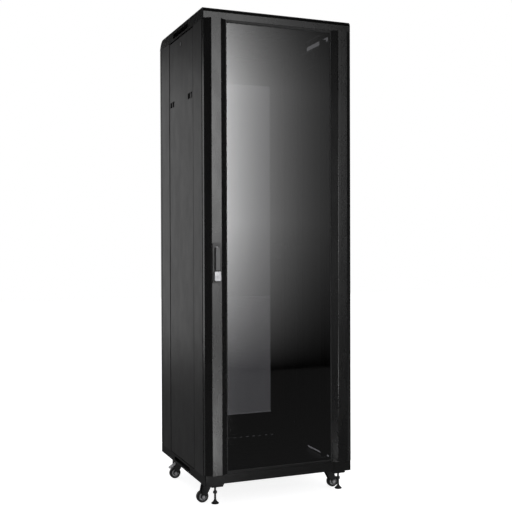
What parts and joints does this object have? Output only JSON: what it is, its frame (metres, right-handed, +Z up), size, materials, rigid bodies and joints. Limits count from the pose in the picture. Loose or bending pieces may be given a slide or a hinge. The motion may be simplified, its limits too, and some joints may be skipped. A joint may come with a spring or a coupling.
{
  "type": "network server rack cabinet",
  "caption": "Tall black 19-inch floor cabinet with bevelled-frame glass front door, mesh rear door, lift-off sides, castors and levelling feet.",
  "frame": {"origin": "on the floor, under the centre of the cabinet's outer box", "axes": "+Z up, -Y out through the glass front door, +X towards the front door's hinges"},
  "size_m": [0.6, 0.626, 1.838],
  "materials": {
    "frame_black": "fine-textured black powder coat",
    "panel_black": "fine-textured black powder coat",
    "door_black": "satin black powder coat",
    "rail_black": "satin black powder coat",
    "roof_black": "satin black powder coat",
    "tinted_glass": "toughened clear glass",
    "seal_rubber": "matte",
    "zinc_steel": "zinc plated",
    "fan_plastic": "moulded",
    "handle_plastic": "moulded",
    "lever_paint": "satin",
    "key_silver": "satin nickel",
    "castor_steel": "black",
    "wheel_nylon": "hard nylon"
  },
  "bodies": {
    "frame": {"base_beams": "frame_black", "base_corner_blocks": "frame_black", "floor_panel": "panel_black", "front_posts": "panel_black", "rear_posts": "panel_black", "top_beams": "door_black", "door_hinge_sockets": "zinc_steel", "roof_panel": "roof_black", "fan_housings": "fan_plastic", "fan_guards": "zinc_steel", "depth_rails": "rail_black", "front_mounting_rails": "rail_black", "rear_mounting_rails": "rail_black", "frame_bolts": "zinc_steel", "castor_plates": "castor_steel", "foot_nuts": "frame_black"},
    "floor_cover": {"floor_entry_cover": "panel_black"},
    "roof_cover": {"roof_entry_cover": "roof_black"},
    "left_fan": {"fan_rotor_left": "fan_plastic"},
    "right_fan": {"fan_rotor_right": "fan_plastic"},
    "front_door": {"door_stile_left": "door_black", "door_stile_right": "door_black", "door_cross_rails": "frame_black", "door_glass": "tinted_glass", "glass_gasket": "seal_rubber", "door_hinge_pins": "zinc_steel", "handle_housing": "handle_plastic", "handle_key_block": "key_silver"},
    "handle_spindle": {"handle_spindle": "zinc_steel"},
    "handle_lever": {"handle_lever": "lever_paint"},
    "handle_key": {"handle_key_plug": "key_silver"},
    "rear_door": {"rear_door_panel": "panel_black", "rear_door_mesh": "panel_black", "rear_hinge_pins": "zinc_steel", "rear_lock_body": "zinc_steel"},
    "rear_lock": {"rear_lock_plug": "key_silver"},
    "left_side_panel": {"side_panel_left": "panel_black", "side_fittings_left": "handle_plastic"},
    "left_side_lock": {"side_lock_left": "key_silver"},
    "left_brake_pedal": {"brake_pedal_left": "zinc_steel"},
    "left_front_latch": {"side_latch_left_front": "handle_plastic"},
    "front_left_castor": {"castor_fork_front_left": "castor_steel"},
    "front_left_wheel": {"castor_wheel_front_left": "wheel_nylon"},
    "front_left_foot": {"foot_front_left": "zinc_steel"},
    "left_rear_latch": {"side_latch_left_rear": "handle_plastic"},
    "rear_left_castor": {"castor_fork_rear_left": "castor_steel"},
    "rear_left_wheel": {"castor_wheel_rear_left": "wheel_nylon"},
    "rear_left_foot": {"foot_rear_left": "zinc_steel"},
    "right_side_panel": {"side_panel_right": "panel_black", "side_fittings_right": "handle_plastic"},
    "right_side_lock": {"side_lock_right": "key_silver"},
    "right_brake_pedal": {"brake_pedal_right": "zinc_steel"},
    "right_front_latch": {"side_latch_right_front": "handle_plastic"},
    "front_right_castor": {"castor_fork_front_right": "castor_steel"},
    "front_right_wheel": {"castor_wheel_front_right": "wheel_nylon"},
    "front_right_foot": {"foot_front_right": "zinc_steel"},
    "right_rear_latch": {"side_latch_right_rear": "handle_plastic"},
    "rear_right_castor": {"castor_fork_rear_right": "castor_steel"},
    "rear_right_wheel": {"castor_wheel_rear_right": "wheel_nylon"},
    "rear_right_foot": {"foot_rear_right": "zinc_steel"}
  },
  "joints": [
    {"name": "front_door_hinge", "type": "hinge", "parent": "frame", "child": "front_door", "pos_m": [0.29, -0.273, 0.963], "axis": [0, 0, 1], "range_deg": [0, 110]},
    {"name": "handle_turn", "type": "hinge", "parent": "front_door", "child": "handle_spindle", "pos_m": [-0.258, -0.29, 0.9608], "axis": [0, -1, 0], "range_deg": [0, 90]},
    {"name": "handle_tilt", "type": "hinge", "parent": "handle_spindle", "child": "handle_lever", "pos_m": [-0.258, -0.3095, 0.9608], "axis": [-1, 0, 0], "range_deg": [0, 25]},
    {"name": "key_turn", "type": "hinge", "parent": "front_door", "child": "handle_key", "pos_m": [-0.258, -0.308, 0.858], "axis": [0, -1, 0], "range_deg": [0, 90]},
    {"name": "rear_door_hinge", "type": "hinge", "parent": "frame", "child": "rear_door", "pos_m": [-0.29, 0.29, 0.963], "axis": [0, 0, 1], "range_deg": [0, 110]},
    {"name": "rear_lock_turn", "type": "hinge", "parent": "rear_door", "child": "rear_lock", "pos_m": [0.252, 0.29, 0.946], "axis": [0, 1, 0], "range_deg": [0, 90]},
    {"name": "floor_cover_slide", "type": "slide", "parent": "frame", "child": "floor_cover", "axis": [0, 1, 0], "range_m": [0, 0.106]},
    {"name": "roof_cover_slide", "type": "slide", "parent": "frame", "child": "roof_cover", "axis": [0, 1, 0], "range_m": [0, 0.084]},
    {"name": "left_fan_spin", "type": "hinge", "parent": "frame", "child": "left_fan", "pos_m": [-0.09, -0.06, 1.82], "axis": [0, 0, 1], "continuous": true},
    {"name": "left_side_panel_pull", "type": "slide", "parent": "frame", "child": "left_side_panel", "axis": [-1, 0, 0], "range_m": [0, 0.12]},
    {"name": "left_side_lock_turn", "type": "hinge", "parent": "left_side_panel", "child": "left_side_lock", "pos_m": [-0.29, 0.003, 1.765], "axis": [1, 0, 0], "range_deg": [0, 90]},
    {"name": "left_front_latch_slide", "type": "slide", "parent": "left_side_panel", "child": "left_front_latch", "axis": [0, 1, 0], "range_m": [0, 0.008], "stiffness_N_per_m": 200, "springref_m": -0.004},
    {"name": "front_left_castor_swivel", "type": "hinge", "parent": "frame", "child": "front_left_castor", "pos_m": [-0.253, -0.172, 0.08], "axis": [0, 0, 1], "continuous": true},
    {"name": "front_left_wheel_roll", "type": "hinge", "parent": "front_left_castor", "child": "front_left_wheel", "pos_m": [-0.275, -0.172, 0.023], "axis": [0, 1, 0], "continuous": true},
    {"name": "front_left_foot_screw", "type": "slide", "parent": "frame", "child": "front_left_foot", "axis": [0, 0, 1], "range_m": [-0.024, 0.004]},
    {"name": "left_rear_latch_slide", "type": "slide", "parent": "left_side_panel", "child": "left_rear_latch", "axis": [0, -1, 0], "range_m": [0, 0.008], "stiffness_N_per_m": 200, "springref_m": -0.004},
    {"name": "rear_left_castor_swivel", "type": "hinge", "parent": "frame", "child": "rear_left_castor", "pos_m": [-0.253, 0.189, 0.08], "axis": [0, 0, 1], "continuous": true},
    {"name": "rear_left_wheel_roll", "type": "hinge", "parent": "rear_left_castor", "child": "rear_left_wheel", "pos_m": [-0.275, 0.189, 0.023], "axis": [0, 1, 0], "continuous": true},
    {"name": "rear_left_foot_screw", "type": "slide", "parent": "frame", "child": "rear_left_foot", "axis": [0, 0, 1], "range_m": [-0.024, 0.004]},
    {"name": "left_brake_pedal_press", "type": "hinge", "parent": "rear_left_castor", "child": "left_brake_pedal", "pos_m": [-0.268, 0.189, 0.066], "axis": [0, -1, 0], "range_deg": [0, 8]},
    {"name": "right_fan_spin", "type": "hinge", "parent": "frame", "child": "right_fan", "pos_m": [0.09, -0.06, 1.82], "axis": [0, 0, 1], "continuous": true},
    {"name": "right_side_panel_pull", "type": "slide", "parent": "frame", "child": "right_side_panel", "axis": [1, 0, 0], "range_m": [0, 0.12]},
    {"name": "right_side_lock_turn", "type": "hinge", "parent": "right_side_panel", "child": "right_side_lock", "pos_m": [0.29, 0.003, 1.765], "axis": [1, 0, 0], "range_deg": [0, 90]},
    {"name": "right_front_latch_slide", "type": "slide", "parent": "right_side_panel", "child": "right_front_latch", "axis": [0, 1, 0], "range_m": [0, 0.008], "stiffness_N_per_m": 200, "springref_m": -0.004},
    {"name": "front_right_castor_swivel", "type": "hinge", "parent": "frame", "child": "front_right_castor", "pos_m": [0.253, -0.172, 0.08], "axis": [0, 0, 1], "continuous": true},
    {"name": "front_right_wheel_roll", "type": "hinge", "parent": "front_right_castor", "child": "front_right_wheel", "pos_m": [0.275, -0.172, 0.023], "axis": [0, 1, 0], "continuous": true},
    {"name": "front_right_foot_screw", "type": "slide", "parent": "frame", "child": "front_right_foot", "axis": [0, 0, 1], "range_m": [-0.024, 0.004]},
    {"name": "right_rear_latch_slide", "type": "slide", "parent": "right_side_panel", "child": "right_rear_latch", "axis": [0, -1, 0], "range_m": [0, 0.008], "stiffness_N_per_m": 200, "springref_m": -0.004},
    {"name": "rear_right_castor_swivel", "type": "hinge", "parent": "frame", "child": "rear_right_castor", "pos_m": [0.253, 0.189, 0.08], "axis": [0, 0, 1], "continuous": true},
    {"name": "rear_right_wheel_roll", "type": "hinge", "parent": "rear_right_castor", "child": "rear_right_wheel", "pos_m": [0.275, 0.189, 0.023], "axis": [0, 1, 0], "continuous": true},
    {"name": "rear_right_foot_screw", "type": "slide", "parent": "frame", "child": "rear_right_foot", "axis": [0, 0, 1], "range_m": [-0.024, 0.004]},
    {"name": "right_brake_pedal_press", "type": "hinge", "parent": "rear_right_castor", "child": "right_brake_pedal", "pos_m": [0.268, 0.189, 0.066], "axis": [0, 1, 0], "range_deg": [0, 8]}
  ]
}
